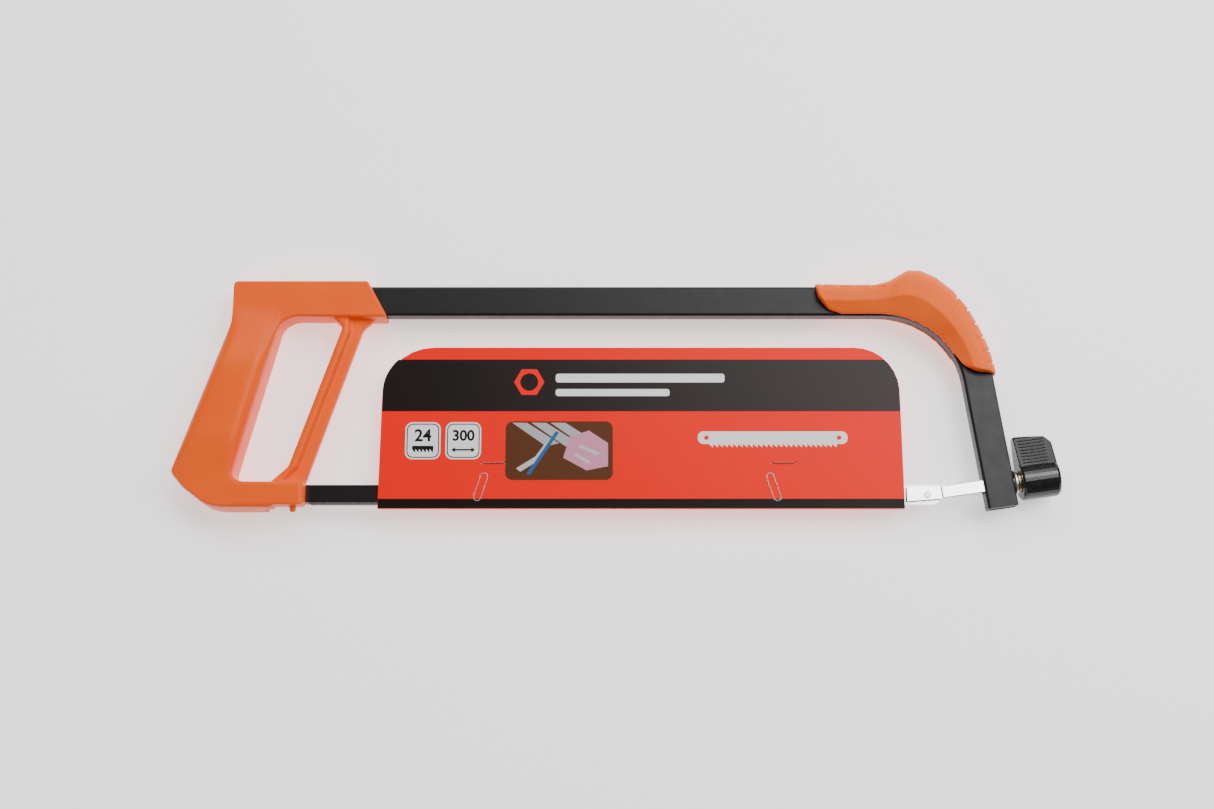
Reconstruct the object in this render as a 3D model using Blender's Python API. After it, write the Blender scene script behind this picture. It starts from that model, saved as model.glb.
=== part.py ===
"""Hacksaw with a bent tube frame, a closed cast handle, a front grip, a wing tension knob and a
carded 300 mm blade. It lies on its side: +X runs along the blade to the knob, +Y to the top tube.

Sizes are in millimetres. x = 0 is near the handle's blade pin and z = 0 is the floor, until
centre_on_origin moves the whole saw over the world's origin.
"""

import math

import bmesh
import bpy
from mathutils import Matrix, Vector

MM = 0.001
MID_Z = 12.5          # the plane of the blade and of the tube's middle
GAP = 0.3             # space left between fixed pieces
FIT = 0.15            # space left around pins and screws

# Frame tube
TUBE_WIDTH = 14.4
TUBE_THICK = 8.0
TUBE_WALL = 1.2
TUBE_CORNER = 1.2
TOP_Y = 92.4          # centre line of the top run
TUBE_START_X = -9.5
LEG_FOOT = (330.35, -6.6)
LEG_LEAN = math.radians(8.2)
BEND_RADIUS = 44.0
PLUG_DEPTH = 6.0

# Handle
HANDLE_TOP_Y = 101.7
BAR_THICK = 15.0
GRIP_THICK = 25.0
FOOT_THICK = 20.0
FLANGE_THICK = 5.0
RIDGE_THICK = 11.0
BLADE_SEAT_Z = 12.9   # the blade lies against the near half of the nose
ROLL_PIN_X = (2.0, 24.0)
ROLL_PIN_RADIUS = 2.0

# Front grip
GRIP_STATIONS = [
    # along the tube: x on the top run or the share of the bend or leg, outer edge, crease, inner edge
    ("run", 240.0, 8.9, 4.0, -6.6), ("run", 262.0, 8.6, 3.0, -6.6), ("run", 274.0, 8.4, 4.0, -6.6),
    ("bend", 0.03, 10.0, 5.5, -6.8), ("bend", 0.09, 13.2, 7.5, -7.0), ("bend", 0.14, 16.9, 9.0, -7.1),
    ("bend", 0.21, 18.2, 10.0, -7.2), ("bend", 0.30, 17.7, 9.0, -7.2), ("bend", 0.42, 15.8, 7.0, -7.2),
    ("bend", 0.55, 13.4, 4.5, -7.2), ("bend", 0.68, 11.2, 3.0, -7.2), ("bend", 0.82, 10.0, 2.0, -7.0),
    ("bend", 0.96, 9.3, 1.5, -6.8), ("leg", 0.16, 9.0, 1.0, -6.8),
]
GRIP_TOP = 12.3       # height of the palm swell above the blade's plane
GRIP_EDGE = 6.0       # height of the inner edge above the blade's plane
GRIP_SCREWS = (("run", 264.0), ("bend", 0.32), ("bend", 0.80))
SCREW_RADIUS = 1.5
SCREW_HEAD = 2.8      # radius
SCREW_HEAD_THICK = 1.8
SCREW_LENGTH = 15.4
SCREW_SEAT = 6.6      # below the blade's plane

# Blade
HOLE_SPACING = 300.0
REAR_PIN_X = -4.5
PIN_Y = -0.7
BLADE_HEIGHT = 10.0
BLADE_THICK = 0.65
HOLE_RADIUS = 2.15
PIN_RADIUS = 1.5
TOOTH_PITCH = 25.4 / 24
TOOTH_DEPTH = 0.7
BLADE_END = 6.5       # from a hole's centre to the rounded end

# Tension bolt, on its own axis; local x is 0 at the leg's centre line and points to the knob
BOLT_HALF = 3.0
BOLT_SQUARE_END = 6.0
BOLT_HOLE_FIT = 0.25
BOLT_AXIS_POINT = (302.0, 0.5)
LAP_LEFT_X = 286.0
LAP_TOP = 2.4
LAP_BOTTOM = 0.65
THREAD_RADIUS = 2.95
THREAD_END = 23.0
WASHER_START = 7.5
WASHER_END = 8.7
INSERT_START = 9.0
INSERT_END = 21.0
INSERT_RADIUS = 4.2
INSERT_FLANGE = 5.0   # radius
KNOB_START = 10.3
KNOB_END = 28.2
KNOB_RADIUS = 9.0
WING_TOP = 21.0

# Card sleeve
CARD_THICK = 0.45
CARD_POCKET = 1.5
CARD_LEFT = 39.7
CARD_RIGHT = 285.0
CARD_FOLD_Y = -7.0
CARD_TOP_Y = 70.2
STAPLE_X = (93.3, 229.0)
STAPLE_HALF = 5.6
STAPLE_Y = 14.6
STAPLE_WIRE = 0.25
TIES = ((87.6, 18.0), (224.2, -18.0))
TIE_MID_Y = 3.2
TIE_WIDTH = 3.4
TIE_LENGTH = 13.5
TIE_WIRE = 0.25


def material(name, colour, roughness, metallic=0.0):
    mat = bpy.data.materials.new(name)
    mat.use_nodes = True
    mat.diffuse_color = (*colour, 1.0)
    shader = mat.node_tree.nodes["Principled BSDF"]
    shader.inputs["Base Color"].default_value = (*colour, 1.0)
    shader.inputs["Roughness"].default_value = roughness
    shader.inputs["Metallic"].default_value = metallic
    return mat


def clear_scene():
    for old in list(bpy.data.objects):
        bpy.data.objects.remove(old, do_unlink=True)


def add_object(name, bm, mat, parent, smooth_angle=35.0):
    """Makes an object from a bmesh in millimetres, in its parent's frame."""
    bmesh.ops.recalc_face_normals(bm, faces=bm.faces)
    bmesh.ops.scale(bm, vec=(MM, MM, MM), verts=bm.verts)
    mesh = bpy.data.meshes.new(name)
    bm.to_mesh(mesh)
    bm.free()
    mesh.shade_smooth()
    mesh.set_sharp_from_angle(angle=math.radians(smooth_angle))
    obj = bpy.data.objects.new(name, mesh)
    bpy.context.scene.collection.objects.link(obj)
    obj.parent = parent
    if mat is not None:
        mesh.materials.append(mat)
    return obj


def empty(name, location, angle, parent):
    obj = bpy.data.objects.new(name, None)
    bpy.context.scene.collection.objects.link(obj)
    obj.parent = parent
    obj.location = [value * MM for value in location]
    obj.rotation_euler = (0, 0, angle)
    return obj


def move_origin(obj, point):
    """Puts the object's origin on a point, in millimetres in its parent's frame."""
    offset = Vector(point) * MM
    obj.data.transform(Matrix.Translation(-offset))
    obj.location = offset
    return obj


def rounded(corners, steps=4):
    """Rounds each corner (x, y, radius) of a closed outline with an arc."""
    points = []
    count = len(corners)
    for i, (x, y, radius) in enumerate(corners):
        here = Vector((x, y))
        before = (Vector(corners[i - 1][:2]) - here).normalized()
        after = (Vector(corners[(i + 1) % count][:2]) - here).normalized()
        if radius <= 0:
            points.append(here)
            continue
        half = before.angle(after) / 2
        centre = here + (before + after).normalized() * (radius / math.sin(half))
        start = here + before * (radius / math.tan(half)) - centre
        end = here + after * (radius / math.tan(half)) - centre
        sweep = start.angle_signed(end)
        turns = [-sweep * k / steps for k in range(steps + 1)]
        points += [centre + Matrix.Rotation(turn, 2) @ start for turn in turns]
    return points


def prism(points, low, high):
    """A solid between two heights over a counterclockwise outline."""
    bm = bmesh.new()
    base = bm.faces.new([bm.verts.new((x, y, low)) for x, y in points])
    top = bmesh.ops.extrude_face_region(bm, geom=[base])["geom"]
    moved = [item for item in top if isinstance(item, bmesh.types.BMVert)]
    bmesh.ops.translate(bm, vec=(0, 0, high - low), verts=moved)
    return bm


def slab(points, thick):
    return prism(points, MID_Z - thick / 2, MID_Z + thick / 2)


def inset_corners(corners, depth):
    """Moves every side of an outline inwards; outer roundings shrink and inner ones grow."""
    moved = []
    count = len(corners)
    for i, (x, y, radius) in enumerate(corners):
        before = (Vector((x, y)) - Vector(corners[i - 1][:2])).normalized()
        after = (Vector(corners[(i + 1) % count][:2]) - Vector((x, y))).normalized()
        inward = Vector((-before.y, before.x)) + Vector((-after.y, after.x))
        shift = inward * (2 * depth / inward.length_squared)
        turn = before.x * after.y - before.y * after.x
        if radius > 0:
            radius = max(radius - depth, 0.15) if turn > 0 else radius + depth
        moved.append((x + shift.x, y + shift.y, radius))
    return moved


def pillow(corners, thick, edge, steps=3):
    """A slab whose rims are rounded to a quarter circle of the given edge."""
    levels = []
    for k in range(steps + 1):
        angle = math.pi / 2 * k / steps
        levels.append((edge * (1 - math.cos(angle)), thick / 2 - edge * (1 - math.sin(angle))))
    levels = [(depth, -height) for depth, height in reversed(levels)] + levels
    loops = []
    for depth, height in levels:
        outline = rounded(inset_corners(corners, depth))
        loops.append([(point.x, point.y, MID_Z + height) for point in outline])
    return loft(loops)


def box(low, high):
    bm = bmesh.new()
    bmesh.ops.create_cube(bm, size=1.0)
    size = [b - a for a, b in zip(low, high)]
    bmesh.ops.scale(bm, vec=size, verts=bm.verts)
    bmesh.ops.translate(bm, vec=[(a + b) / 2 for a, b in zip(low, high)], verts=bm.verts)
    return bm


def cylinder(radius, start, end, axis="Z", segments=24):
    """A cylinder along an axis; start and end are points on it that differ along that axis only."""
    bm = bmesh.new()
    start = Vector(start)
    end = Vector(end)
    bmesh.ops.create_cone(bm, cap_ends=True, segments=segments, radius1=radius, radius2=radius,
                          depth=(end - start).length)
    turn = {"X": Matrix.Rotation(math.pi / 2, 4, "Y"), "Y": Matrix.Rotation(math.pi / 2, 4, "X"),
            "Z": Matrix.Identity(4)}[axis]
    bmesh.ops.transform(bm, matrix=Matrix.Translation((start + end) / 2) @ turn, verts=bm.verts)
    return bm


def turned(profile, segments=24):
    """A body turned about local X from (x, radius) points that start and end on the axis."""
    bm = bmesh.new()
    ends = [bm.verts.new((profile[0][0], 0, 0)), bm.verts.new((profile[-1][0], 0, 0))]
    rings = []
    for x, radius in profile[1:-1]:
        angles = [2 * math.pi * k / segments for k in range(segments)]
        rings.append([bm.verts.new((x, radius * math.cos(a), radius * math.sin(a))) for a in angles])
    for k in range(segments):
        nxt = (k + 1) % segments
        bm.faces.new((ends[0], rings[0][nxt], rings[0][k]))
        bm.faces.new((ends[1], rings[-1][k], rings[-1][nxt]))
        for near, far in zip(rings, rings[1:]):
            bm.faces.new((near[k], near[nxt], far[nxt], far[k]))
    return bm


def bevel(obj, width, segments=2, angle=40.0):
    mod = obj.modifiers.new("Bevel", "BEVEL")
    mod.width = width * MM
    mod.segments = segments
    mod.limit_method = "ANGLE"
    mod.angle_limit = math.radians(angle)
    return obj


def hide(obj):
    obj.hide_render = True
    obj.display_type = "WIRE"
    return obj


def combine(obj, other, operation="DIFFERENCE"):
    mod = obj.modifiers.new(operation.title(), "BOOLEAN")
    mod.operation = operation
    mod.object = hide(other)
    return obj


def rounded_section(width, thick, corner, steps=3):
    half_w = width / 2
    half_t = thick / 2
    return rounded([(half_w, -half_t, corner), (half_w, half_t, corner),
                    (-half_w, half_t, corner), (-half_w, -half_t, corner)], steps)


def leg_corner():
    """Where the top run's centre line meets the leg's."""
    return LEG_FOOT[0] - (TOP_Y - LEG_FOOT[1]) * math.tan(LEG_LEAN)


def bend_start_x():
    turn = math.pi / 2 - LEG_LEAN
    return leg_corner() - BEND_RADIUS * math.tan(turn / 2)


def tube_path(start_x, steps=12):
    """Points (x, y) with the heading in radians, from the handle round the bend to the foot."""
    turn = math.pi / 2 - LEG_LEAN
    bend_x = bend_start_x()
    path = [(start_x, TOP_Y, 0.0)]
    for k in range(steps + 1):
        angle = turn * k / steps
        path.append((bend_x + BEND_RADIUS * math.sin(angle),
                     TOP_Y - BEND_RADIUS * (1 - math.cos(angle)), -angle))
    path.append((*LEG_FOOT, -turn))
    return path


def section_at(station, offset, height):
    """A point beside the path: offset is positive towards the outside of the bend."""
    x, y, heading = station
    return (x - offset * math.sin(heading), y + offset * math.cos(heading), MID_Z + height)


def loft(loops, close_ends=True):
    """Skins a list of closed loops of points; without caps the last loop joins the first."""
    bm = bmesh.new()
    rings = [[bm.verts.new(point) for point in loop] for loop in loops]
    pairs = list(zip(rings, rings[1:]))
    if not close_ends:
        pairs.append((rings[-1], rings[0]))
    for near, far in pairs:
        for k in range(len(near)):
            nxt = (k + 1) % len(near)
            bm.faces.new((near[k], near[nxt], far[nxt], far[k]))
    if close_ends:
        bm.faces.new(list(reversed(rings[0])))
        bm.faces.new(rings[-1])
    return bm


def bolt_origin():
    """Where the bolt's axis crosses the leg's centre line."""
    slope = math.tan(LEG_LEAN)
    x0, y0 = BOLT_AXIS_POINT
    foot_x, foot_y = LEG_FOOT
    x = (foot_x + slope * (foot_y - y0 + slope * x0)) / (1 + slope * slope)
    return (x, y0 + (x - x0) * slope, MID_Z)


def frame_tube(root, axis, mats):
    path = tube_path(TUBE_START_X)
    outer = rounded_section(TUBE_WIDTH, TUBE_THICK, TUBE_CORNER)
    inner = rounded_section(TUBE_WIDTH - 2 * TUBE_WALL, TUBE_THICK - 2 * TUBE_WALL, 0.4)
    outside = [[section_at(s, u, v) for u, v in outer] for s in path]
    inside = [[section_at(s, u, v) for u, v in inner] for s in reversed(path)]
    tube = add_object("frame_tube", loft(outside + inside, close_ends=False), mats["tube"], root)
    hole = BOLT_HALF + BOLT_HOLE_FIT
    combine(tube, add_object("cut_square_hole", box((-30, -hole, -hole), (30, hole, hole)), None, axis))
    return tube


def tube_plug(root, mats):
    foot = (*LEG_FOOT, LEG_LEAN - math.pi / 2)
    away = Vector((math.cos(foot[2]), math.sin(foot[2])))
    start = (foot[0] - away.x * PLUG_DEPTH, foot[1] - away.y * PLUG_DEPTH, foot[2])
    end = (foot[0] - away.x * GAP, foot[1] - away.y * GAP, foot[2])
    shape = rounded_section(TUBE_WIDTH - 2 * TUBE_WALL - 2 * FIT, TUBE_THICK - 2 * TUBE_WALL - 2 * FIT, 0.4)
    loops = [[section_at(s, u, v) for u, v in shape] for s in (start, end)]
    return add_object("tube_end_plug", loft(loops), mats["plug"], root)


def handle_shapes():
    """Outlines of the casting's regions, each with its thickness and edge rounding."""
    bar = [(42.7, 83.8, 0.8), (32.8, HANDLE_TOP_Y, 1.0), (-31.0, HANDLE_TOP_Y, 2.0), (-30.95, 81.1, 26.0),
           (-36.0, 66.0, 0), (-12.6, 66.0, 0), (-7.4, 84.2, 10.0)]
    grip = [(-50.2, 2.2, 12.0), (-37.6, -7.4, 14.0), (-26.0, -7.4, 0), (-28.3, 4.9, 0), (-5.6, 91.4, 7.0),
            (-30.6, 95.0, 7.0), (-31.0, 81.1, 20.0), (-55.93, 9.08, 3.0)]
    foot = [(6.2, -7.5, 1.5), (6.2, 4.7, 0.8), (-28.6, 4.8, 5.0), (-25.8, 16.0, 0), (-38.0, 16.0, 0),
            (-38.0, -7.5, 6.0)]
    flange = [(6.1, 1.0, 0), (6.1, 5.5, 0), (30.7, 79.0, 6.0), (38.0, 85.0, 0), (38.0, 88.0, 0),
              (15.0, 88.0, 0), (15.0, 84.6, 2.0), (21.3, 80.0, 2.5), (-1.9, 12.3, 5.0), (-11.5, 4.0, 0),
              (-11.5, 1.0, 0)]
    ridge = [(-4.5, 2.0, 0), (-4.5, 5.0, 3.0), (2.3, 12.0, 5.0), (24.8, 77.5, 3.0), (23.5, 88.0, 0),
             (15.6, 88.0, 0), (15.6, 84.4, 2.0), (21.25, 80.0, 2.5), (-1.95, 12.35, 5.0), (-11.0, 4.2, 0),
             (-11.0, 2.0, 0)]
    return [("bar", bar, BAR_THICK, 1.4), ("grip", grip, GRIP_THICK, 6.0), ("foot", foot, FOOT_THICK, 2.2),
            ("flange", flange, FLANGE_THICK, 0.8), ("ridge", ridge, RIDGE_THICK, 1.5)]


def handle(root, mats):
    """One casting: bar with the tube socket, grip, foot with the blade seat, and the strut."""
    body = None
    for name, corners, thick, edge in handle_shapes():
        shape = pillow(corners, thick, edge, 5 if name == "grip" else 2)
        part = add_object("handle_" + name, shape, mats["paint"], root)
        body = combine(body, part, "UNION") if body else part
    body.name = "handle"
    recess = box((-8.2, -9.0, -1.0), (9.0, -6.3, 30.0))
    combine(body, add_object("cut_nose_recess", recess, None, root))
    peg = cylinder(1.5, (1.1, -9.2, 17.0), (1.1, -4.0, 17.0), "Y", 16)
    combine(body, add_object("handle_peg", peg, None, root), "UNION")
    half_w = TUBE_WIDTH / 2 + GAP
    half_t = TUBE_THICK / 2 + GAP
    socket = box((TUBE_START_X - GAP, TOP_Y - half_w, MID_Z - half_t), (60, TOP_Y + half_w, MID_Z + half_t))
    combine(body, add_object("cut_socket", socket, None, root))
    seat = box((-12.0, -9.9, -1.0), (9.0, 4.72, BLADE_SEAT_Z))
    combine(body, add_object("cut_blade_seat", seat, None, root))
    pin_hole = cylinder(PIN_RADIUS + FIT, (REAR_PIN_X, PIN_Y, 8.0), (REAR_PIN_X, PIN_Y, 19.2))
    combine(body, add_object("cut_pin_hole", pin_hole, None, root))
    for x in ROLL_PIN_X:
        hole = cylinder(ROLL_PIN_RADIUS + FIT, (x, TOP_Y, -1.0), (x, TOP_Y, 18.6))
        combine(body, add_object("cut_roll_pin", hole, None, root))
    return body


def roll_pins(root, tube, mats):
    """Two pins driven in from the far side lock the tube in the handle."""
    for number, x in enumerate(ROLL_PIN_X, 1):
        pin = cylinder(ROLL_PIN_RADIUS, (x, TOP_Y, 5.6), (x, TOP_Y, 18.3), segments=20)
        bevel(add_object(f"handle_roll_pin_{number}", pin, mats["steel"], root), 0.4)
        hole = cylinder(ROLL_PIN_RADIUS + FIT, (x, TOP_Y, 0), (x, TOP_Y, 25), segments=20)
        combine(tube, add_object("cut_tube_pin_hole", hole, None, root))


def rear_pin(root, mats):
    pin = cylinder(PIN_RADIUS, (REAR_PIN_X, PIN_Y, 10.0), (REAR_PIN_X, PIN_Y, 18.9))
    return bevel(add_object("rear_blade_pin", pin, mats["steel"], root), 0.3)


def grip_station(kind, place):
    turn = math.pi / 2 - LEG_LEAN
    if kind == "run":
        return (place, TOP_Y, 0.0)
    angle = turn * place if kind == "bend" else turn
    x = bend_start_x() + BEND_RADIUS * math.sin(angle)
    y = TOP_Y - BEND_RADIUS * (1 - math.cos(angle))
    if kind == "leg":
        x += (LEG_FOOT[0] - x) * place
        y += (LEG_FOOT[1] - y) * place
    return (x, y, -angle)


def grip_loops(side):
    """Half sections of the front grip: low at the inner edge, full in the palm, rounded outside."""
    loops = []
    for kind, place, outer, crease, inner in GRIP_STATIONS:
        station = grip_station(kind, place)
        full = 0.62 if kind == "run" else min(1.0, 0.62 + 0.38 * (outer - 8.4) / 6.0)
        top = GRIP_EDGE + (GRIP_TOP - GRIP_EDGE) * full
        step = (outer - crease) / 3
        shape = [(inner, GAP / 2), (inner, GRIP_EDGE - 0.6), (inner + 0.6, GRIP_EDGE),
                 (inner + 0.55 * (crease - inner), top - 0.4), (crease, top), (crease + step, top * 0.93),
                 (crease + 2 * step, top * 0.72), (outer - 0.25 * step, top * 0.4), (outer, GAP / 2)]
        loops.append([section_at(station, u, v * side) for u, v in shape])
    return loops


def grip_end_cutters(root):
    """Curved ends: a big arc at the rear, a smaller one on the leg."""
    rear = rounded([(220, 60, 0), (257.5, 60, 0), (257.5, 86.0, 0), (251.5, 87.8, 6.0), (246.8, 93.5, 6.0),
                    (245.9, 97.5, 0), (245.9, 115, 0), (220, 115, 0)])
    leg = rounded([(300, 40, 0), (345, 40, 0), (345, 56.8, 0), (326.5, 57.0, 0), (320.5, 57.6, 8.0),
                   (314.8, 60.6, 6.0), (310.5, 66.3, 0), (300, 66.3, 0)])
    return [add_object("cut_grip_rear", prism(rear, -5, 30), None, root),
            add_object("cut_grip_leg", prism(leg, -5, 30), None, root)]


def front_grip(root, mats):
    """Two half shells clamped round the tube, with screws from the far side."""
    cutters = grip_end_cutters(root)
    channel_section = rounded_section(TUBE_WIDTH + 2 * GAP, TUBE_THICK + 2 * GAP, TUBE_CORNER)
    channel = [[section_at(s, u, v) for u, v in channel_section] for s in tube_path(200.0)]
    cutters.append(add_object("cut_grip_channel", loft(channel), None, root))
    for name, side in (("front_grip_near", 1), ("front_grip_far", -1)):
        half = add_object(name, loft(grip_loops(side)), mats["grip"], root, 50)
        for cutter in cutters:
            combine(half, cutter)
        for kind, place in GRIP_SCREWS:
            x, y, _ = grip_station(kind, place)
            hole = cylinder(SCREW_RADIUS + FIT, (x, y, -2), (x, y, MID_Z + 7.2), segments=16)
            combine(half, add_object(f"cut_{name}_screw", hole, None, root))
            if side < 0:
                well = cylinder(SCREW_HEAD + FIT, (x, y, -2), (x, y, MID_Z - SCREW_SEAT), segments=20)
                combine(half, add_object("cut_screw_well", well, None, root))


def grip_screws(root, tube, mats):
    for number, station in enumerate(GRIP_SCREWS, 1):
        x, y, _ = grip_station(*station)
        place = Matrix.Translation((x, y, MID_Z - SCREW_SEAT - GAP - SCREW_HEAD_THICK))
        profile = [(0, 0), (0, SCREW_HEAD * 0.8), (0.5, SCREW_HEAD), (SCREW_HEAD_THICK, SCREW_HEAD),
                   (SCREW_HEAD_THICK, SCREW_RADIUS), (SCREW_LENGTH - 0.6, SCREW_RADIUS),
                   (SCREW_LENGTH, SCREW_RADIUS * 0.6), (SCREW_LENGTH, 0)]
        bm = turned(profile, 20)
        turn = place @ Matrix.Rotation(-math.pi / 2, 4, "Y")
        bmesh.ops.transform(bm, matrix=turn, verts=bm.verts)
        screw = add_object(f"grip_screw_{number}", bm, mats["steel"], root)
        for angle in (0, 90):
            slot = box((-1.5, -0.35, -0.7), (1.5, 0.35, 0.7))
            turn = place @ Matrix.Rotation(math.radians(angle), 4, "Z")
            bmesh.ops.transform(slot, matrix=turn, verts=slot.verts)
            combine(screw, add_object("cut_screw_cross", slot, None, root))
        hole = cylinder(SCREW_RADIUS + FIT, (x, y, 0), (x, y, 25), segments=16)
        combine(tube, add_object("cut_tube_screw_hole", hole, None, root))


def saw_blade(root, mats):
    """A strip with 24 teeth per inch on the -Y edge and a hole near each rounded end."""
    top = PIN_Y + BLADE_HEIGHT / 2
    tip = PIN_Y - BLADE_HEIGHT / 2
    left = REAR_PIN_X - BLADE_END
    right = REAR_PIN_X + HOLE_SPACING + BLADE_END
    gullet = tip + TOOTH_DEPTH
    first = REAR_PIN_X + 13.0
    count = int((HOLE_SPACING - 26.0) / TOOTH_PITCH)
    teeth = []
    for k in range(count):
        x = first + k * TOOTH_PITCH
        teeth += [Vector((x, gullet)), Vector((x + TOOTH_PITCH * 0.96, tip))]
    ends = rounded([(right, gullet, 4.0), (right, top, 4.0), (left, top, 4.0), (left, gullet, 4.0)])
    tail = [p for p in ends if p.x < 0]
    nose = [p for p in ends if p.x > 0]
    outline = teeth + [Vector((first + count * TOOTH_PITCH, gullet))] + nose + tail
    blade = add_object("saw_blade", slab(outline, BLADE_THICK), mats["blade"], root)
    for x in (REAR_PIN_X, REAR_PIN_X + HOLE_SPACING):
        hole = cylinder(HOLE_RADIUS, (x, PIN_Y, 5), (x, PIN_Y, 20))
        combine(blade, add_object("cut_blade_hole", hole, None, root))
    return move_origin(blade, (REAR_PIN_X, PIN_Y, MID_Z))


def to_axis(point):
    """A point of the saw in the bolt axis's own frame."""
    x0, y0, z0 = bolt_origin()
    flat = Matrix.Rotation(-LEG_LEAN, 2) @ Vector((point[0] - x0, point[1] - y0))
    return Vector((flat.x, flat.y, point[2] - z0))


def tension_bolt(axis, mats):
    """A square bar with a thinned hook end over the blade and a thread in the knob."""
    shoulder = to_axis((*BOLT_AXIS_POINT, MID_Z)).x
    bar = box((shoulder, -BOLT_HALF, -BOLT_HALF), (BOLT_SQUARE_END, BOLT_HALF, BOLT_HALF))
    bolt = bevel(add_object("tension_bolt", bar, mats["chrome"], axis), 0.5)
    lap_outline = [(304.5, -2.2), (304.5, 4.1), (300.4, 3.6), (LAP_LEFT_X, 2.9), (LAP_LEFT_X, -3.7)]
    flat = [to_axis((x, y, MID_Z)) for x, y in lap_outline]
    lap = prism([(p.x, p.y) for p in flat], LAP_BOTTOM, LAP_TOP)
    combine(bolt, add_object("bolt_lap", lap, None, axis), "UNION")
    clear = box((shoulder - 1, -8, -8), (shoulder + 6.2, 8, LAP_BOTTOM))
    combine(bolt, add_object("cut_bolt_lap", clear, None, axis))
    thread = turned([(5.0, 0), (5.0, THREAD_RADIUS), (THREAD_END - 0.8, THREAD_RADIUS),
                     (THREAD_END, THREAD_RADIUS - 0.8), (THREAD_END, 0)])
    combine(bolt, add_object("bolt_thread", thread, None, axis), "UNION")
    x, y, _ = to_axis((REAR_PIN_X + HOLE_SPACING, PIN_Y, MID_Z))
    hole = cylinder(PIN_RADIUS + FIT, (x, y, -5), (x, y, 5))
    return combine(bolt, add_object("cut_bolt_pin_hole", hole, None, axis))


def front_pin(axis, mats):
    x, y, _ = to_axis((REAR_PIN_X + HOLE_SPACING, PIN_Y, MID_Z))
    pin = cylinder(PIN_RADIUS, (x, y, -3.0), (x, y, LAP_TOP + 0.2))
    return bevel(add_object("front_blade_pin", pin, mats["steel"], axis), 0.25)


def ring(name, start, end, outer, inner, mat, parent):
    """A washer round local X."""
    bm = turned([(start, 0), (start, outer - 0.3), (start + 0.3, outer), (end - 0.3, outer),
                 (end, outer - 0.3), (end, 0)], 28)
    obj = add_object(name, bm, mat, parent)
    bore = cylinder(inner, (start - 1, 0, 0), (end + 1, 0, 0), "X", 28)
    return combine(obj, add_object("cut_" + name, bore, None, parent))


def knob_insert(axis, mats):
    """A brass nut moulded into the knob, with its flange against the washer."""
    bm = turned([(INSERT_START, 0), (INSERT_START, INSERT_FLANGE - 0.3), (INSERT_START + 0.3, INSERT_FLANGE),
                 (INSERT_START + 1, INSERT_FLANGE), (INSERT_START + 1, INSERT_RADIUS),
                 (INSERT_END, INSERT_RADIUS), (INSERT_END, 0)], 28)
    obj = add_object("knob_insert", bm, mats["brass"], axis)
    bore = cylinder(THREAD_RADIUS + FIT, (5, 0, 0), (25, 0, 0), "X")
    return combine(obj, add_object("cut_insert_bore", bore, None, axis))


def wing_outline():
    """The wing seen along the knob's axis, from the barrel up to its rounded tip."""
    return rounded([(-6.4, 2.0, 0), (6.4, 2.0, 0), (6.6, 5.8, 1.5), (2.6, WING_TOP, 1.8),
                    (-2.6, WING_TOP, 1.8), (-6.6, 5.8, 1.5)])


def tension_knob(axis, mats):
    """A round barrel with one ribbed wing, standing up the frame at rest."""
    barrel = turned([(KNOB_START, 0), (KNOB_START, 8.2), (KNOB_START + 0.8, KNOB_RADIUS),
                     (KNOB_END - 1.6, KNOB_RADIUS), (KNOB_END - 0.5, 8.4), (KNOB_END, 7.2),
                     (KNOB_END, 0)], 36)
    knob = add_object("tension_knob", barrel, mats["knob"], axis)
    wing = prism(wing_outline(), KNOB_START + 0.2, KNOB_END - 0.3)
    # the outline is drawn across the axis: prism x is the saw's z, prism y stays, prism z is the axis
    turn = Matrix(((0, 0, 1, 0), (0, 1, 0, 0), (-1, 0, 0, 0), (0, 0, 0, 1)))
    bmesh.ops.transform(wing, matrix=turn, verts=wing.verts)
    wing_part = bevel(add_object("knob_wing", wing, None, axis), 0.7)
    combine(knob, wing_part, "UNION")
    chamfer = prism([(KNOB_END - 3.4, WING_TOP - 1.6), (KNOB_END + 2, WING_TOP - 8.0),
                     (KNOB_END + 2, WING_TOP + 4), (KNOB_START, WING_TOP + 4), (KNOB_START - 1, WING_TOP + 0.2)],
                    -12, 12)
    combine(knob, add_object("cut_wing_chamfer", chamfer, None, axis))
    seat_end = INSERT_END + GAP
    bore_end = THREAD_END + 2.4
    seat = turned([(KNOB_START - 1, 0), (KNOB_START - 1, INSERT_RADIUS + FIT), (seat_end, INSERT_RADIUS + FIT),
                   (seat_end, THREAD_RADIUS + 0.4), (bore_end, THREAD_RADIUS + 0.4), (bore_end, 0)], 28)
    return combine(knob, add_object("cut_insert_seat", seat, None, axis))


def card_outline():
    return rounded([(CARD_LEFT, CARD_FOLD_Y, 0.4), (CARD_RIGHT, CARD_FOLD_Y, 0.4), (284.7, 40.0, 0),
                    (284.2, CARD_TOP_Y, 21.0), (41.0, CARD_TOP_Y, 24.0), (40.4, 40.0, 0)], 7)


def card_sleeve(root, mats):
    """A card folded under the teeth, with the blade in its pocket."""
    outside = CARD_POCKET + 2 * CARD_THICK
    card = add_object("card_sleeve", slab(card_outline(), outside), mats["card"], root)
    pocket = box((CARD_LEFT - 5, CARD_FOLD_Y + CARD_THICK, MID_Z - CARD_POCKET / 2),
                 (CARD_RIGHT + 5, CARD_TOP_Y + 5, MID_Z + CARD_POCKET / 2))
    combine(card, add_object("cut_card_pocket", pocket, None, root))
    for middle in STAPLE_X:
        for x in (middle - STAPLE_HALF, middle + STAPLE_HALF):
            hole = cylinder(0.55, (x, STAPLE_Y, 5), (x, STAPLE_Y, 20), segments=10)
            combine(card, add_object("cut_staple_hole", hole, None, root))
    return card


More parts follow.
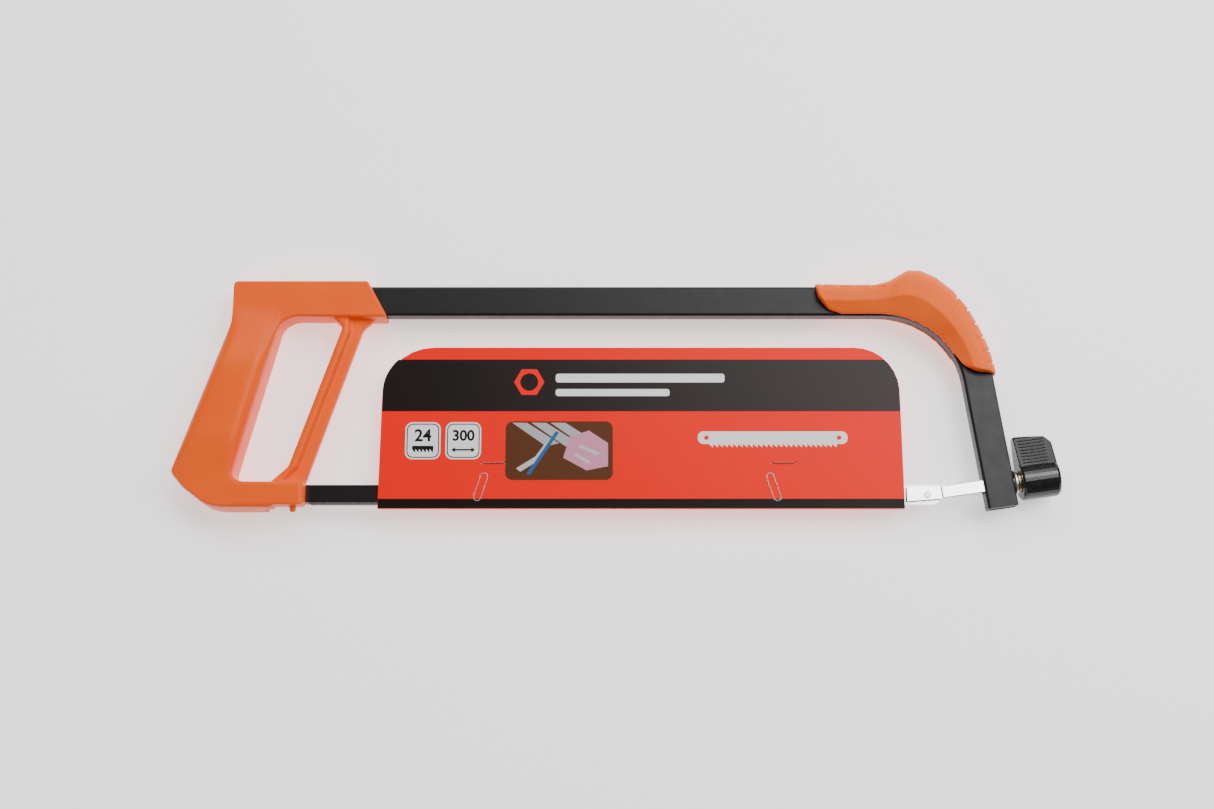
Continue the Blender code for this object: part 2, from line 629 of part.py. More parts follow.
def tube_along(points, radius, segments=6, closed=False):
    """A round wire through points that all lie in one plane."""
    normal = (points[1] - points[0]).cross(points[2] - points[1]).normalized()
    count = len(points)
    loops = []
    for k, point in enumerate(points):
        before = points[k - 1] if closed or k else point
        after = points[(k + 1) % count] if closed or k + 1 < count else point
        heading = (after - before).normalized()
        side = heading.cross(normal)
        loop = []
        for j in range(segments):
            angle = 2 * math.pi * j / segments
            loop.append(point + side * radius * math.cos(angle) + normal * radius * math.sin(angle))
        loops.append(loop)
    return loft(loops, close_ends=not closed)


def staple(root, number, x, mats):
    """Crown on the near side, legs through both panels, ends folded in on the far side."""
    rise = CARD_POCKET / 2 + CARD_THICK + STAPLE_WIRE + 0.1
    half = STAPLE_HALF
    corner = 0.5
    outline = [(-0.6, -rise), (-half + corner, -rise), (-half, -rise + corner), (-half, rise - corner),
               (-half + corner, rise), (half - corner, rise), (half, rise - corner), (half, -rise + corner),
               (half - corner, -rise), (0.6, -rise)]
    points = [Vector((x + u, STAPLE_Y, MID_Z + v)) for u, v in outline]
    wire = tube_along(points, STAPLE_WIRE)
    return add_object(f"card_staple_{number}", wire, mats["steel"], root, 60)


def card_tie(root, number, x, lean, mats):
    """A clear plastic loop that lies flat on the near panel."""
    half_w = TIE_WIDTH / 2
    half_l = TIE_LENGTH / 2
    height = MID_Z + CARD_POCKET / 2 + CARD_THICK + TIE_WIRE + 0.05
    outline = rounded([(half_w, -half_l, half_w), (half_w, half_l, half_w),
                       (-half_w, half_l, half_w), (-half_w, -half_l, half_w)], 5)
    place = Matrix.Translation((x, TIE_MID_Y, height)) @ Matrix.Rotation(-math.radians(lean), 4, "Z")
    points = []
    for point in outline:
        spot = place @ Vector((point.x, point.y, 0))
        if not points or (spot - points[-1]).length > 0.05:
            points.append(spot)
    if (points[0] - points[-1]).length < 0.05:
        points.pop()
    wire = tube_along(points, TIE_WIRE, closed=True)
    return add_object(f"card_tie_{number}", wire, mats["clear"], root, 60)


def centre_on_origin(root):
    """Moves the saw so that its box stands centred on the world's origin, resting on z = 0."""
    bpy.context.view_layer.update()
    low = Vector((1e9, 1e9, 1e9))
    high = -low
    graph = bpy.context.evaluated_depsgraph_get()
    for obj in bpy.context.scene.objects:
        if obj.type != "MESH" or obj.hide_render:
            continue
        shape = obj.evaluated_get(graph)
        for vert in shape.data.vertices:
            place = shape.matrix_world @ vert.co
            low = Vector(map(min, low, place))
            high = Vector(map(max, high, place))
    root.location = (-(low.x + high.x) / 2, -(low.y + high.y) / 2, -low.z)


def build_materials():
    return {
        "paint": material("orange_paint", (0.95, 0.15, 0.005), 0.32),
        "grip": material("orange_plastic", (0.95, 0.20, 0.02), 0.55),
        "tube": material("black_paint", (0.02, 0.018, 0.018), 0.38),
        "plug": material("black_plug", (0.015, 0.015, 0.015), 0.5),
        "knob": material("black_gloss_plastic", (0.012, 0.011, 0.011), 0.22),
        "chrome": material("bright_chrome", (0.80, 0.80, 0.82), 0.12, 1.0),
        "steel": material("zinc_steel", (0.62, 0.61, 0.58), 0.30, 1.0),
        "brass": material("brass", (0.80, 0.62, 0.30), 0.28, 1.0),
        "blade": material("black_blade", (0.025, 0.022, 0.02), 0.25, 0.3),
        "card": material("printed_card", (0.90, 0.03, 0.015), 0.35),
        "clear": material("clear_plastic", (0.85, 0.85, 0.85), 0.15),
    }


def build():
    clear_scene()
    mats = build_materials()
    root = empty("saw_root", (0, 0, 0), 0.0, None)
    axis = empty("bolt_axis", bolt_origin(), LEG_LEAN, root)
    tube = frame_tube(root, axis, mats)
    tube_plug(root, mats)
    handle(root, mats)
    roll_pins(root, tube, mats)
    rear_pin(root, mats)
    front_grip(root, mats)
    grip_screws(root, tube, mats)
    saw_blade(root, mats)
    tension_bolt(axis, mats)
    front_pin(axis, mats)
    ring("knob_washer", WASHER_START, WASHER_END, 5.7, 3.2, mats["steel"], axis)
    knob_insert(axis, mats)
    tension_knob(axis, mats)
    card_sleeve(root, mats)
    for number, x in enumerate(STAPLE_X, 1):
        staple(root, number, x, mats)
    for number, (x, lean) in enumerate(TIES, 1):
        card_tie(root, number, x, lean, mats)
    centre_on_origin(root)


build()
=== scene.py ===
"""Looks of the hacksaw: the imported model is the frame, and this script adds its finish.

Metres throughout. SAW_X and SAW_Y carry the saw's own drawing frame (x = 0 near the handle's pin,
y = 0 on the blade) into the model's, so that sizes here read like those of the design.
"""

import math

import bmesh
import bpy
from mathutils import Matrix, Vector


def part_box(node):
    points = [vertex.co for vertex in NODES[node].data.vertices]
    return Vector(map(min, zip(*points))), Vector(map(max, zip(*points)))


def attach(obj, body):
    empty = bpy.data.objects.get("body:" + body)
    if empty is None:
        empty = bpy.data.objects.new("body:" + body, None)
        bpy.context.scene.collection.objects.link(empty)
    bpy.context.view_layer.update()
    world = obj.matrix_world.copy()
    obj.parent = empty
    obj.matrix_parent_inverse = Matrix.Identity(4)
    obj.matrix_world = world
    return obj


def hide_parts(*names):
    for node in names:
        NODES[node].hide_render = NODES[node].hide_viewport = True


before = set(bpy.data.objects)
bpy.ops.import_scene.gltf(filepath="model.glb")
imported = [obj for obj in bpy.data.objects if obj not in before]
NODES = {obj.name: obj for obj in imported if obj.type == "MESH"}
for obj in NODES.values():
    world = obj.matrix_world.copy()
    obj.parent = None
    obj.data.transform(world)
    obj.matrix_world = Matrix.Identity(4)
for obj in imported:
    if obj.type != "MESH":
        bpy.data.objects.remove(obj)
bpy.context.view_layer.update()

MM = 0.001
MID_Z = 12.5 * MM
BLADE_LEFT = -11.0             # the blade's box in the drawing frame, in millimetres
BLADE_TIPS = -5.7
SAW_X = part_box("saw_blade")[0][0] - BLADE_LEFT * MM
SAW_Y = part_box("saw_blade")[0][1] - BLADE_TIPS * MM
TILT = math.radians(12.5)      # of the camera, from straight down
VIEW_CENTRE = (146.5, 42.8)
CAMERA_DISTANCE = 795.3 * MM
LEG_LEAN = math.radians(8.2)
BEND_X = 277.93
BEND_RADIUS = 44.0
TOP_Y = 92.4
BOLT_AXIS = (328.77, 4.36, 12.5)
CARD_TOP = MID_Z + 1.2 * MM
PRINT_LIFT = 0.02 * MM
PAD_GROOVE = 0.62              # half width of a groove in the front grip, in millimetres
PAD_DEPTH = 0.95


def at(x, y, z=0.0):
    """A point of the saw's drawing frame, in millimetres, in the model's frame."""
    return Vector((SAW_X + x * MM, SAW_Y + y * MM, z * MM))


# ---------------------------------------------------------------- materials


class Graph:
    """A small helper that adds and links shader nodes of one material."""

    def __init__(self, name):
        self.mat = bpy.data.materials.new(name)
        self.mat.use_nodes = True
        self.tree = self.mat.node_tree
        self.shader = self.tree.nodes["Principled BSDF"]

    def node(self, kind, inputs=None, **settings):
        made = self.tree.nodes.new("ShaderNode" + kind)
        for key, value in settings.items():
            setattr(made, key, value)
        for key, value in (inputs or {}).items():
            self.put(made.inputs[key], value)
        return made

    def put(self, socket, value):
        if isinstance(value, bpy.types.NodeSocket):
            self.tree.links.new(value, socket)
        elif isinstance(value, tuple) and len(value) == 3 and socket.type == "RGBA":
            socket.default_value = (*value, 1.0)
        else:
            socket.default_value = value

    def set(self, **inputs):
        for key, value in inputs.items():
            self.put(self.shader.inputs[key.replace("_", " ")], value)

    def place(self):
        return self.node("TexCoord").outputs["Object"]

    def noise(self, scale, detail=3.0, stretch=None, rough=0.5):
        where = self.place()
        if stretch:
            where = self.node("Mapping", {"Vector": where, "Scale": stretch}).outputs[0]
        return self.node("TexNoise", {"Vector": where, "Scale": scale, "Detail": detail,
                                      "Roughness": rough}).outputs["Fac"]

    def ramp(self, fac, low, high, first=(0.0, 0.0, 0.0), last=(1.0, 1.0, 1.0)):
        made = self.node("ValToRGB", {"Fac": fac})
        made.color_ramp.elements[0].position = low
        made.color_ramp.elements[1].position = high
        made.color_ramp.elements[0].color = (*first, 1.0)
        made.color_ramp.elements[1].color = (*last, 1.0)
        return made.outputs["Color"]

    def mix(self, fac, first, last):
        made = self.node("Mix", data_type="RGBA")
        self.put(made.inputs[0], fac)
        self.put(made.inputs[6], first)
        self.put(made.inputs[7], last)
        return made.outputs[2]

    def math(self, operation, first, last=0.0):
        made = self.node("Math", operation=operation)
        self.put(made.inputs[0], first)
        self.put(made.inputs[1], last)
        return made.outputs[0]

    def band(self, fac, low, high):
        made = self.node("MapRange", {"Value": fac, "From Min": low, "From Max": high})
        return made.outputs[0]

    def axis(self, letter):
        return self.node("SeparateXYZ", {"Vector": self.place()}).outputs[letter]

    def vary_roughness(self, fac, low, high):
        made = self.node("MapRange", {"Value": fac, "To Min": low, "To Max": high})
        self.put(self.shader.inputs["Roughness"], made.outputs[0])

    def bump(self, height, strength, distance):
        made = self.node("Bump", {"Height": height, "Strength": strength, "Distance": distance})
        self.set(Normal=made.outputs[0])


def paint_orange():
    g = Graph("orange_paint")
    soft = g.ramp(g.noise(45, 4), 0.35, 0.7, (1.0, 0.100, 0.0), (1.0, 0.125, 0.0))
    # painted highlights: sparse streaky flecks of pale orange, mixed in at up to half strength, stand in
    # for small glints on the glossy paint
    painted_glints = g.ramp(g.noise(420, 6, (1.0, 0.25, 1.0), 0.7), 0.70, 0.78)
    painted_glints = g.math("MULTIPLY", painted_glints, g.ramp(g.noise(60, 2), 0.52, 0.62))
    g.set(Base_Color=g.mix(g.math("MULTIPLY", painted_glints, 0.5), soft, (1.0, 0.42, 0.18)))
    g.vary_roughness(g.noise(260, 4), 0.26, 0.42)
    g.set(Specular_IOR_Level=0.16)
    g.bump(g.noise(700, 2), 0.10, 0.0004)
    return g.mat


def plastic_orange():
    g = Graph("orange_plastic")
    speck = g.ramp(g.noise(3200, 2), 0.45, 0.75, (1.0, 0.13, 0.004), (1.0, 0.21, 0.03))
    cloud = g.ramp(g.noise(70, 4), 0.35, 0.75, (1.0, 0.12, 0.004), (1.0, 0.18, 0.02))
    g.set(Base_Color=g.mix(0.5, cloud, speck), Roughness=0.52, Specular_IOR_Level=0.15)
    g.bump(g.noise(3600, 3), 0.25, 0.0002)
    return g.mat


def paint_black():
    g = Graph("black_paint")
    dust = g.ramp(g.noise(1500, 2), 0.74, 0.80)
    g.set(Base_Color=g.mix(g.math("MULTIPLY", dust, 0.35), (0.010, 0.009, 0.009), (0.12, 0.11, 0.10)))
    g.vary_roughness(g.noise(180, 5), 0.28, 0.44)
    g.set(Specular_IOR_Level=0.25)
    g.bump(g.noise(2600, 3), 0.10, 0.0002)
    return g.mat


def plastic_black(name, rough, grain):
    g = Graph(name)
    g.set(Base_Color=g.ramp(g.noise(300, 3), 0.3, 0.8, (0.006, 0.0055, 0.0055), (0.016, 0.014, 0.014)))
    g.vary_roughness(g.noise(240, 4), rough - 0.06, rough + 0.10)
    g.bump(g.noise(900, 3), grain, 0.0003)
    return g.mat


def metal(name, colour, rough, stretch, tint):
    """Plated or bare metal with drawn streaks and a patchy tint."""
    g = Graph(name)
    g.set(Base_Color=g.mix(g.ramp(g.noise(240, 4), 0.45, 0.75), colour, tint), Metallic=1.0)
    streaks = g.noise(900, 3, stretch)
    g.vary_roughness(streaks, rough * 0.7, rough * 1.5)
    g.bump(streaks, 0.08, 0.0002)
    return g.mat


def blade_finish():
    """Black lacquer that stops short of the ground teeth and has worn off at the tension end."""
    g = Graph("black_blade")
    bare_edge = g.band(g.axis("Y"), at(0, -3.95).y, at(0, -4.10).y)
    wear = g.math("ADD", g.axis("X"), g.math("MULTIPLY", g.noise(400, 3), 0.004))
    bare = g.math("MAXIMUM", bare_edge, g.band(wear, at(283.0, 0).x, at(284.0, 0).x))
    grind = g.noise(2000, 3, (1.0, 0.08, 1.0))
    steel = g.ramp(grind, 0.3, 0.8, (0.50, 0.49, 0.47), (0.78, 0.77, 0.75))
    g.set(Base_Color=g.mix(bare, (0.012, 0.010, 0.010), steel), Metallic=bare)
    g.put(g.shader.inputs["Roughness"], g.math("ADD", g.math("MULTIPLY", grind, 0.12), 0.14))
    g.bump(grind, 0.06, 0.0001)
    return g.mat


def card_print(name, left, right, rough=0.30):
    """Varnished printing ink, with painted light: each colour lightens from the card's left end to its
    right end, as if lit from the right.
    """
    g = Graph(name)
    # painted light: the ink lightens from the card's left end to its right end, towards the lamp at the
    # right
    painted_light_ramp = g.band(g.axis("X"), at(60, 0).x, at(285, 0).x)
    fibre = g.ramp(g.noise(1400, 5), 0.3, 0.75, (0.93, 0.93, 0.93), (1.0, 1.0, 1.0))
    tone = g.mix(painted_light_ramp, left, right)
    shade = g.node("Mix", data_type="RGBA", blend_type="MULTIPLY")
    g.put(shade.inputs[0], 1.0)
    g.put(shade.inputs[6], tone)
    g.put(shade.inputs[7], fibre)
    g.set(Base_Color=shade.outputs[2], Roughness=rough, Specular_IOR_Level=0.09)
    g.bump(g.noise(1100, 4), 0.05, 0.0002)
    return g.mat


def clear_plastic():
    g = Graph("clear_plastic")
    cloudy = g.ramp(g.noise(900, 3), 0.4, 0.7, (0.92, 0.90, 0.88), (1.0, 1.0, 1.0))
    g.set(Base_Color=cloudy, Roughness=0.12, Transmission_Weight=0.75, IOR=1.45)
    return g.mat


MATS = {
    "paint": paint_orange(),
    "grip": plastic_orange(),
    "tube": paint_black(),
    "plug": plastic_black("black_plug", 0.50, 0.10),
    "knob": plastic_black("black_gloss_plastic", 0.20, 0.04),
    "chrome": metal("chrome", (0.86, 0.86, 0.88), 0.13, (0.05, 1.0, 1.0), (0.70, 0.72, 0.76)),
    "steel": metal("zinc_steel", (0.70, 0.69, 0.66), 0.28, (1.0, 1.0, 0.1), (0.78, 0.68, 0.48)),
    "brass": metal("brass", (0.84, 0.68, 0.40), 0.24, (1.0, 0.1, 1.0), (0.70, 0.52, 0.28)),
    "blade": blade_finish(),
    # the second colour of each card ink is its right end, made lighter as painted light from the right
    "red": card_print("card_red", (1.0, 0.004, 0.0), (1.0, 0.008, 0.001)),
    "band": card_print("card_band", (0.016, 0.011, 0.011), (0.042, 0.032, 0.032)),
    "stripe": card_print("card_stripe", (0.012, 0.009, 0.008), (0.012, 0.009, 0.008)),
    "white": card_print("card_white", (0.92, 0.91, 0.90), (0.95, 0.94, 0.93)),
    "clear": clear_plastic(),
}


def finish_node(node, key):
    mesh = NODES[node].data
    mesh.materials.clear()
    mesh.materials.append(MATS[key])


def finish_nodes():
    finish_node("frame_tube", "tube")
    finish_node("tube_end_plug", "plug")
    finish_node("tension_knob", "knob")
    finish_node("knob_insert", "brass")
    finish_node("tension_bolt", "chrome")
    finish_node("saw_blade", "blade")
    finish_node("card_sleeve", "red")
    for name in NODES:
        if name.startswith(("handle_roll", "rear_blade", "front_blade", "grip_screw", "knob_washer",
                            "card_staple")):
            finish_node(name, "steel")
        if name.startswith("card_tie"):
            finish_node(name, "clear")


# ---------------------------------------------------------------- pieces


def add_piece(name, mesh, mat, body):
    mesh.materials.clear()
    mesh.materials.append(mat)
    piece = bpy.data.objects.new(name, mesh)
    bpy.context.scene.collection.objects.link(piece)
    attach(piece, body)
    return piece


def smooth_copy(node, voxel, rounds):
    """A node's mesh, remeshed finely and relaxed so that its regions flow into each other."""
    bm = bmesh.new()
    bm.from_mesh(NODES[node].data)
    bmesh.ops.remove_doubles(bm, verts=bm.verts, dist=1e-6)
    raw = bpy.data.meshes.new("raw")
    bm.to_mesh(raw)
    bm.free()
    work = bpy.data.objects.new("work", raw)
    bpy.context.scene.collection.objects.link(work)
    remesh = work.modifiers.new("Remesh", "REMESH")
    remesh.mode = "VOXEL"
    remesh.voxel_size = voxel
    relax = work.modifiers.new("Smooth", "SMOOTH")
    relax.factor = 0.5
    relax.iterations = rounds
    graph = bpy.context.evaluated_depsgraph_get()
    mesh = bpy.data.meshes.new_from_object(work.evaluated_get(graph))
    bpy.data.objects.remove(work)
    mesh.shade_smooth()
    return mesh


def ease(value, low, high):
    """0 up to low, 1 from high, and a smooth rise between."""
    share = min(1.0, max(0.0, (value - low) / (high - low)))
    return share * share * (3 - 2 * share)


def blend_grip_ends(mesh):
    """Lets the thick grip run out into the thinner bar above it and the foot below it."""
    for vert in mesh.vertices:
        y = (vert.co.y - SAW_Y) / MM
        side = vert.co.z - MID_Z
        height = abs(side) / MM
        for base, swell in ((7.2, 1 - ease(y, 58, 90)), (9.7, ease(y, 3, 26))):
            if height > base and (base > 8 or y > 40):
                height = base + (height - base) * swell
        vert.co.z = MID_Z + math.copysign(height * MM, side)


def handle():
    mesh = smooth_copy("handle", 0.55 * MM, 7)
    blend_grip_ends(mesh)
    piece = add_piece("handle_casting", mesh, MATS["paint"], "frame")
    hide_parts("handle")


def beside_tube(point):
    """Where a point lies along the tube: ("run", x) or ("bend", degrees), and its outward offset."""
    x = (point.x - SAW_X) / MM
    y = (point.y - SAW_Y) / MM
    if x <= BEND_X:
        return "run", x, y - TOP_Y
    dx = x - BEND_X
    dy = y - (TOP_Y - BEND_RADIUS)
    return "bend", math.degrees(math.atan2(dx, dy)), math.hypot(dx, dy) - BEND_RADIUS


def pad_depth(point):
    """How deep the groove round and between the grip's raised pads is at a point, in millimetres."""
    kind, place, offset = beside_tube(point)
    if kind == "run":
        cuts = (249.0, 256.6, 264.2, 271.8, 279.0)
        crease = 4.9
        scale = 1.0
    else:
        cuts = (38.0, 45.6, 53.2, 60.8, 68.4, 75.0)
        crease = 4.4 + 6.5 * max(0.0, (60.0 - place) / 22.0) ** 1.3
        scale = (BEND_RADIUS + offset) * math.pi / 180
    if not cuts[0] - PAD_GROOVE / scale < place < cuts[-1] + PAD_GROOVE / scale or offset < crease:
        return 0.0
    across = min(abs(place - cut) * scale for cut in cuts)
    nearest = min(across, abs(offset - crease - PAD_GROOVE))
    return PAD_DEPTH * max(0.0, 1.0 - (nearest / PAD_GROOVE) ** 2)


def front_grip():
    for side in ("near", "far"):
        mesh = smooth_copy("front_grip_" + side, 0.42 * MM, 6)
        normals = [vert.normal.copy() for vert in mesh.vertices]
        for vert, normal in zip(mesh.vertices, normals):
            vert.co -= normal * pad_depth(vert.co) * MM
        piece = add_piece(f"front_grip_{side}_shell", mesh, MATS["grip"], "frame")
        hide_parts("front_grip_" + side)


def flat_mesh(outlines, low, high):
    """Thin plates over counterclockwise outlines of model-frame points."""
    bm = bmesh.new()
    for outline in outlines:
        face = bm.faces.new([bm.verts.new((point[0], point[1], low)) for point in outline])
        top = bmesh.ops.extrude_face_region(bm, geom=[face])["geom"]
        moved = [item for item in top if isinstance(item, bmesh.types.BMVert)]
        bmesh.ops.translate(bm, vec=(0, 0, high - low), verts=moved)
    bmesh.ops.recalc_face_normals(bm, faces=bm.faces)
    mesh = bpy.data.meshes.new("flat")
    bm.to_mesh(mesh)
    bm.free()
    return mesh


def round_box(x0, y0, x1, y1, radius, steps=6):
    """A rounded rectangle of the drawing frame, as model-frame points."""
    points = []
    for cx, cy, start in ((x1 - radius, y0 + radius, -90), (x1 - radius, y1 - radius, 0),
                          (x0 + radius, y1 - radius, 90), (x0 + radius, y0 + radius, 180)):
        for k in range(steps + 1):
            angle = math.radians(start + 90 * k / steps)
            points.append(at(cx + radius * math.cos(angle), cy + radius * math.sin(angle)))
    return points


def regular(x, y, radius, sides):
    """A regular outline round a point of the drawing frame."""
    turns = [2 * math.pi * k / sides for k in range(sides)]
    return [at(x + radius * math.cos(turn), y + radius * math.sin(turn)) for turn in turns]


def printed(name, outlines, key, level=1):
    """Ink on the card's near panel; a higher level lies over a lower one."""
    low = CARD_TOP + PRINT_LIFT * level
    mesh = flat_mesh(outlines, low, low + PRINT_LIFT * 0.6)
    return add_piece(name, mesh, MATS[key], "card")


def card_edges(y):
    """The card's left and right edges at a height of the drawing frame."""
    left = 39.7 + 0.7 * min(1.0, (y + 7) / 47)
    right = 285.0 - 0.3 * min(1.0, (y + 7) / 47)
    radius = 21.5
    centre_y = 70.2 - radius
    if y > centre_y:
        pull = radius - math.sqrt(max(0.0, radius ** 2 - (y - centre_y) ** 2))
        left += pull * 1.06
        right -= pull
    return left, right


def card_band():
    """The dark band follows the card's rounded shoulders."""
    rows = [39.3 + (64.3 - 39.3) * k / 16 for k in range(17)]
    right = [at(card_edges(y)[1] - 0.25, y) for y in rows]
    left = [at(card_edges(y)[0] + 0.25, y) for y in reversed(rows)]
    printed("print_band", [right + left], "band")
    printed("print_fold_stripe", [round_box(39.85, -6.85, 284.85, -2.4, 0.1)], "stripe")


def numerals(name, text, x, y, size, key):
    """Plain numerals centred on a point."""
    curve = bpy.data.curves.new(name, "FONT")
    curve.body = text
    curve.size = size * MM
    curve.align_x = "CENTER"
    curve.align_y = "CENTER"
    curve.extrude = PRINT_LIFT * 0.3
    curve.offset = 0.0002
    maker = bpy.data.objects.new("maker", curve)
    bpy.context.scene.collection.objects.link(maker)
    graph = bpy.context.evaluated_depsgraph_get()
    mesh = bpy.data.meshes.new_from_object(maker.evaluated_get(graph))
    bpy.data.objects.remove(maker)
    place = at(x, y)
    place.z = CARD_TOP + PRINT_LIFT * 4
    mesh.transform(Matrix.Translation(place))
    return add_piece(name, mesh, MATS[key], "card")


def badge(name, x0, x1, text, size):
    """A white rounded square with a dark rim line and a numeral; it returns the middle, where the caller
    adds a small pictogram.
    """
    printed(name + "_field", [round_box(x0, 16.3, x1, 34.0, 3.4)], "white", 1)
    printed(name + "_rim", [round_box(x0 + 0.7, 17.0, x1 - 0.7, 33.3, 2.9)], "band", 2)
    printed(name + "_face", [round_box(x0 + 1.2, 17.5, x1 - 1.2, 32.8, 2.5)], "white", 3)
    middle = (x0 + x1) / 2
    numerals(name + "_number", text, middle, 27.4, size, "stripe")
    return middle


def tooth_row(x0, x1, base, tip, count):
    """A saw-tooth strip standing on a thin bar, from left to right."""
    pitch = (x1 - x0) / count
    lower = []
    for k in range(count):
        lower.append(at(x0 + k * pitch, base))
        lower.append(at(x0 + (k + 0.85) * pitch, tip))
    top = base + (base - tip) * 0.8
    return lower + [at(x1, base), at(x1, top), at(x0, top)]


def card_graphics():
    card_band()
    middle = badge("badge_pitch", 51.9, 68.5, "24", 8.0)
    printed("badge_pitch_teeth", [tooth_row(middle - 5, middle + 5, 21.2, 19.3, 6)], "stripe", 4)
    middle = badge("badge_length", 70.8, 87.5, "300", 7.0)
    arrow = [(-5.6, 20.8), (-3.8, 19.5), (-3.8, 20.4), (3.8, 20.4), (3.8, 19.5), (5.6, 20.8), (3.8, 22.1),
             (3.8, 21.2), (-3.8, 21.2), (-3.8, 22.1)]
    printed("badge_length_arrow", [[at(middle + x, y) for x, y in arrow]], "stripe", 4)
    emblem()
    blade_sign("title_blade", 189.1, 259.3, 22.0, 29.6)
    lines = [round_box(122.3, 53.2, 202.0, 57.4, 1.2), round_box(122.3, 46.6, 176.0, 50.0, 1.2)]
    printed("heading_bars", lines, "white", 2)
    picture_panel()


def emblem():
    """A plain six-sided nut shape beside the heading bars."""
    cx, cy = 109.8, 53.4
    printed("emblem_nut", [regular(cx, cy, 7.2, 6)], "red", 2)
    printed("emblem_hole", [regular(cx, cy, 4.2, 24)], "band", 3)


def blade_sign(name, x0, x1, low, high):
    """A saw blade in outline: rounded ends, teeth below and a hole at each end."""
    teeth = tooth_row(x0 + 5, x1 - 5, low + 1.6, low, 26)
    body = round_box(x0, low + 1.6, x1, high, 2.6)
    printed(name + "_teeth", [teeth], "white", 1)
    printed(name, [body], "white", 2)
    y = (low + 1.6 + high) / 2
    holes = [regular(x, y, 1.1, 18) for x in (x0 + 4, x1 - 4)]
    printed(name + "_holes", holes, "red", 3)


def picture_panel():
    """A small drawing of a bar being cut: brown bench, grey bars, a blue frame and a pale blade."""
    tones = {"bench": (0.10, 0.035, 0.015), "bar": (0.42, 0.40, 0.42), "frame": (0.02, 0.12, 0.35),
             "pale": (0.55, 0.50, 0.52), "rag": (0.62, 0.25, 0.38)}
    for key, tone in tones.items():
        # the right end of each picture tone is 15% lighter, as painted light from the right
        MATS[key] = card_print("picture_" + key, tone, tuple(c * 1.15 for c in tone))
    printed("picture_ground", [round_box(99.0, 6.5, 149.2, 34.4, 3.4)], "bench", 1)
    bars = [[at(x, 33.8), at(x + 7, 33.7), at(x + 22, 24.0), at(x + 16, 22.5)] for x in (102, 111, 120)]
    printed("picture_bars", bars, "bar", 2)
    bow = [at(104, 12), at(106, 10.4), at(115, 16), at(121, 25), at(119, 26), at(113, 17.6)]
    printed("picture_bow", [bow], "pale", 3)
    printed("picture_saw", [[at(109, 9.5), at(110.4, 8.8), at(124, 29.0), at(122.5, 29.8)]], "frame", 4)
    rag = [at(126, 17), at(137, 11), at(147, 13), at(147, 24), at(138, 30), at(129, 27)]
    printed("picture_cloth", [rag], "rag", 3)
    printed("picture_cloth_folds", [[at(131, 18), at(138, 14), at(139, 15), at(132, 19.4)],
                                    [at(133, 22), at(142, 18), at(143, 19.4), at(134, 23.4)]], "pale", 4)


def axis_frame():
    """The bolt axis: local x points to the knob, local y up the leg."""
    return Matrix.Translation(at(*BOLT_AXIS)) @ Matrix.Rotation(LEG_LEAN, 4, "Z")


def knob_ribs():
    """Eight ribs on each face of the knob's wing, along the knob's axis."""
    bm = bmesh.new()
    slope = math.atan2(6.6 - 2.6, 21.0 - 5.8)
    for side in (1, -1):
        for k in range(8):
            y = 7.6 + 1.55 * k
            z = 6.6 - (y - 5.8) * math.tan(slope)
            made = bmesh.ops.create_uvsphere(bm, u_segments=12, v_segments=8, radius=1.0)["verts"]
            size = Matrix.Diagonal((6.4 * MM, 0.42 * MM, 0.50 * MM, 1.0))
            spot = Matrix.Translation((18.2 * MM, y * MM, side * z * MM))
            for vert in made:
                # squares the ellipsoid's ends off, so the rib runs straight and stops round
                vert.co.x = math.copysign(abs(vert.co.x) ** 0.35, vert.co.x)
            bmesh.ops.transform(bm, matrix=axis_frame() @ spot @ size, verts=made)
    mesh = bpy.data.meshes.new("ribs")
    bm.to_mesh(mesh)
    bm.free()
    mesh.shade_smooth()
    add_piece("knob_wing_ribs", mesh, MATS["knob"], "knob")


# ---------------------------------------------------------------- studio


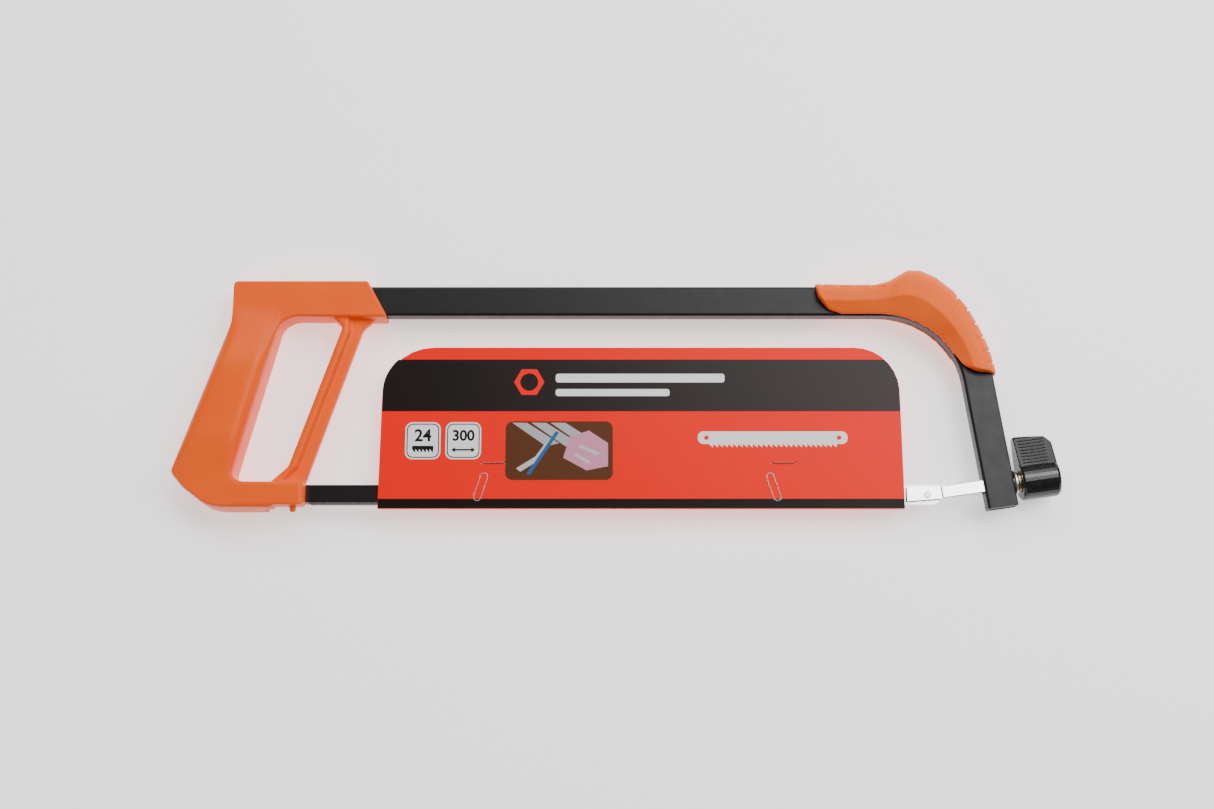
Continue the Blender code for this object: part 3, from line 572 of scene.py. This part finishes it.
def floor():
    bm = bmesh.new()
    bmesh.ops.create_grid(bm, x_segments=1, y_segments=1, size=6.0)
    mesh = bpy.data.meshes.new("studio_floor")
    bm.to_mesh(mesh)
    bm.free()
    g = Graph("studio_floor")
    g.set(Base_Color=(0.93, 0.93, 0.935), Roughness=0.7)
    g.set(Emission_Color=(1.0, 1.0, 1.0), Emission_Strength=0.9)
    mesh.materials.append(g.mat)
    ground = bpy.data.objects.new("studio_floor", mesh)
    bpy.context.scene.collection.objects.link(ground)
    ground.location.z = -0.0002


def area_light(name, place, target, size, power, colour=(1.0, 1.0, 1.0)):
    light = bpy.data.lights.new(name, "AREA")
    light.shape = "RECTANGLE"
    light.size, light.size_y = size
    light.energy = power
    light.color = colour
    lamp = bpy.data.objects.new(name, light)
    lamp.location = place
    away = Vector(place) - Vector(target)
    lamp.rotation_euler = away.to_track_quat("Z", "Y").to_euler()
    bpy.context.scene.collection.objects.link(lamp)


def studio():
    floor()
    world = bpy.data.worlds.new("studio")
    world.use_nodes = True
    world.node_tree.nodes["Background"].inputs["Color"].default_value = (1.0, 1.0, 1.0, 1.0)
    world.node_tree.nodes["Background"].inputs["Strength"].default_value = 0.14
    bpy.context.scene.world = world
    area_light("key_back", (-0.1, 0.9, 1.1), (0.0, 0.0, 0.0), (1.2, 0.5), 9)
    area_light("panel_above", (0.38, 0.34, 1.2), (0.1, 0.0, 0.0), (0.75, 0.5), 7)
    area_light("side_right", (0.75, 0.25, 0.85), (0.1, 0.0, 0.0), (0.5, 0.8), 7)
    area_light("fill_left", (-0.9, -0.3, 0.9), (-0.1, 0.0, 0.0), (0.4, 0.6), 2.5)


def camera():
    data = bpy.data.cameras.new("camera")
    data.lens = 50.0
    data.sensor_width = 36.0
    cam = bpy.data.objects.new("camera", data)
    centre = at(*VIEW_CENTRE, 12.5)
    cam.location = centre + CAMERA_DISTANCE * Vector((0, -math.sin(TILT), math.cos(TILT)))
    cam.rotation_euler = (TILT, 0, 0)
    bpy.context.scene.collection.objects.link(cam)
    bpy.context.scene.camera = cam


finish_nodes()
handle()
front_grip()
card_graphics()
knob_ribs()
studio()
camera()
